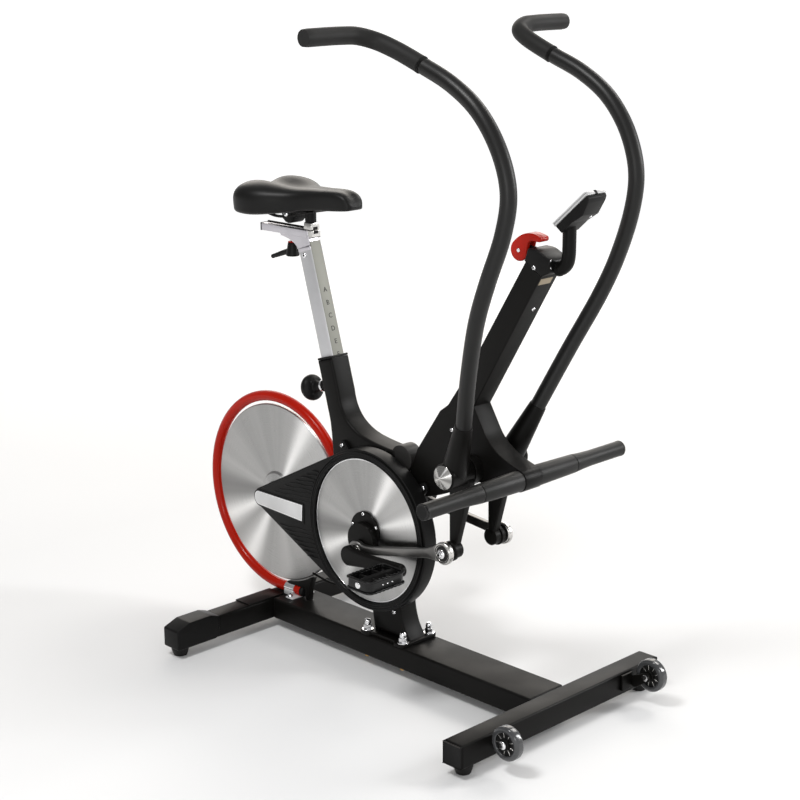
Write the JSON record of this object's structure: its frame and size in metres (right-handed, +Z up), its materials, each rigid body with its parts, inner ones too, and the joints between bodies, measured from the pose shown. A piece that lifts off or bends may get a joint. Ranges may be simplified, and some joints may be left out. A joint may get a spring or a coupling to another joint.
{
  "type": "exercise bike",
  "caption": "Upright air bike with swinging handles, foot pegs, a brushed disc flywheel in a red hoop, an adjustable saddle and a small display.",
  "frame": {"origin": "on the floor, under the middle of the bike's box", "axes": "+X to the front, +Y to the rider's left, +Z up"},
  "size_m": [1.186, 0.728, 1.3957],
  "materials": {
    "powder_black": "satin black powder coat",
    "moulded_black": "satin moulded plastic",
    "grip_rubber": "matt",
    "brushed_steel": "turned, with radial light streaks",
    "alloy": "brushed",
    "chrome": "polished",
    "gloss_red": "glossy coat",
    "saddle_cover": "smooth padded cover",
    "wheel_grey": "smooth, slightly clear",
    "plate_white": "smooth"
  },
  "bodies": {
    "frame": {"base_beam": "powder_black", "front_bar": "powder_black", "rear_bar": "powder_black", "rear_cap_right": "moulded_black", "rear_cap_left": "moulded_black", "foot_front_right": "grip_rubber", "foot_front_left": "grip_rubber", "foot_rear_right": "grip_rubber", "foot_rear_left": "grip_rubber", "wheel_bracket_right": "powder_black", "wheel_bracket_left": "powder_black", "main_frame": "powder_black", "seat_collar": "moulded_black", "base_plate": "powder_black", "front_bracket": "powder_black", "tower_post": "powder_black", "pivot_shaft": "chrome", "peg_bar": "powder_black", "peg_grip_right": "grip_rubber", "peg_grip_left": "grip_rubber", "belt_guard": "moulded_black", "guard_back": "moulded_black", "nameplate": "plate_white", "crank_bearing": "brushed_steel", "drive_belt": "grip_rubber", "guard_ring": "gloss_red", "ring_clamp": "chrome", "magnet_pivot_pin": "brushed_steel", "head_block": "moulded_black", "console_stem": "powder_black", "console": "moulded_black"},
    "crank": {"crank_spindle": "brushed_steel", "drive_pulley": "brushed_steel", "eccentric_hub_right": "powder_black", "eccentric_hub_left": "powder_black", "crank_arm_right": "powder_black", "crank_arm_left": "powder_black"},
    "pedal_right": {"pedal_right": "moulded_black"},
    "pedal_left": {"pedal_left": "moulded_black"},
    "flywheel": {"flywheel": "alloy", "flywheel_axle": "brushed_steel", "flywheel_pulley": "alloy"},
    "handle_right": {"handle_tube_right": "powder_black", "hand_grip_right": "grip_rubber", "handle_hub_right": "powder_black"},
    "handle_left": {"handle_tube_left": "powder_black", "hand_grip_left": "grip_rubber", "handle_hub_left": "powder_black"},
    "rod_right": {"conn_rod_right": "brushed_steel"},
    "rod_left": {"conn_rod_left": "brushed_steel"},
    "seat_post": {"seat_post": "alloy", "seat_slide": "chrome"},
    "saddle": {"saddle": "saddle_cover", "saddle_carriage": "powder_black"},
    "clamp_lever": {"clamp_lever": "moulded_black"},
    "pop_pin": {"pop_pin": "moulded_black"},
    "shift_lever": {"shift_lever": "gloss_red"},
    "magnet": {"magnet_caliper": "powder_black"},
    "wheel_right": {"transport_wheel_right": "wheel_grey"},
    "wheel_left": {"transport_wheel_left": "wheel_grey"}
  },
  "joints": [
    {"name": "crank_spin", "type": "hinge", "parent": "frame", "child": "crank", "pos_m": [0.01, 0, 0.323], "axis": [0, 1, 0], "continuous": true},
    {"name": "pedal_right_spin", "type": "hinge", "parent": "crank", "child": "pedal_right", "pos_m": [0.161, -0.186, 0.285], "axis": [0, 1, 0], "continuous": true},
    {"name": "pedal_left_spin", "type": "hinge", "parent": "crank", "child": "pedal_left", "pos_m": [-0.141, 0.186, 0.361], "axis": [0, 1, 0], "continuous": true},
    {"name": "flywheel_spin", "type": "hinge", "parent": "frame", "child": "flywheel", "pos_m": [-0.354, 0, 0.311], "axis": [0, 1, 0], "continuous": true},
    {"name": "wheel_right_spin", "type": "hinge", "parent": "frame", "child": "wheel_right", "pos_m": [0.5587, -0.223, 0.0683], "axis": [0, 1, 0], "continuous": true},
    {"name": "wheel_left_spin", "type": "hinge", "parent": "frame", "child": "wheel_left", "pos_m": [0.5587, 0.223, 0.0683], "axis": [0, 1, 0], "continuous": true},
    {"name": "handle_right_swing", "type": "hinge", "parent": "frame", "child": "handle_right", "pos_m": [0.28, -0.08, 0.512], "axis": [0, 1, 0], "range_deg": [-12, 12]},
    {"name": "handle_left_swing", "type": "hinge", "parent": "frame", "child": "handle_left", "pos_m": [0.28, 0.08, 0.512], "axis": [0, 1, 0], "range_deg": [-12, 12]},
    {"name": "rod_right_turn", "type": "hinge", "parent": "handle_right", "child": "rod_right", "pos_m": [0.26, -0.089, 0.341], "axis": [0, 1, 0], "range_deg": [-12, 12]},
    {"name": "rod_left_turn", "type": "hinge", "parent": "handle_left", "child": "rod_left", "pos_m": [0.26, 0.089, 0.341], "axis": [0, 1, 0], "range_deg": [-12, 12]},
    {"name": "seat_height", "type": "slide", "parent": "frame", "child": "seat_post", "axis": [-0.279, 0, 0.9603], "range_m": [-0.12, 0.06]},
    {"name": "saddle_fore_aft", "type": "slide", "parent": "seat_post", "child": "saddle", "axis": [1, 0, 0], "range_m": [-0.04, 0]},
    {"name": "clamp_lever_turn", "type": "hinge", "parent": "saddle", "child": "clamp_lever", "pos_m": [-0.29, 0, 0.885], "axis": [0, 0, 1], "range_deg": [-60, 60]},
    {"name": "pop_pin_pull", "type": "slide", "parent": "frame", "child": "pop_pin", "axis": [-0.9603, 0, -0.279], "range_m": [0, 0.012], "stiffness_N_per_m": 2000, "springref_m": -0.006},
    {"name": "shift_lever_turn", "type": "hinge", "parent": "frame", "child": "shift_lever", "pos_m": [0.384, 0, 0.971], "axis": [0, 1, 0], "range_deg": [-50, 0]},
    {"name": "magnet_swing", "type": "hinge", "parent": "frame", "child": "magnet", "pos_m": [-0.116, 0, 0.262], "axis": [0, 1, 0], "range_deg": [-8, 0]}
  ],
  "couplings": [
    {"joint": "flywheel_spin", "follows": "crank_spin", "ratio": 10.533},
    {"joint": "handle_left_swing", "follows": "handle_right_swing", "ratio": -1},
    {"joint": "rod_right_turn", "follows": "handle_right_swing", "ratio": -1},
    {"joint": "rod_left_turn", "follows": "handle_right_swing", "ratio": 1},
    {"joint": "magnet_swing", "follows": "shift_lever_turn", "ratio": 0.16}
  ]
}
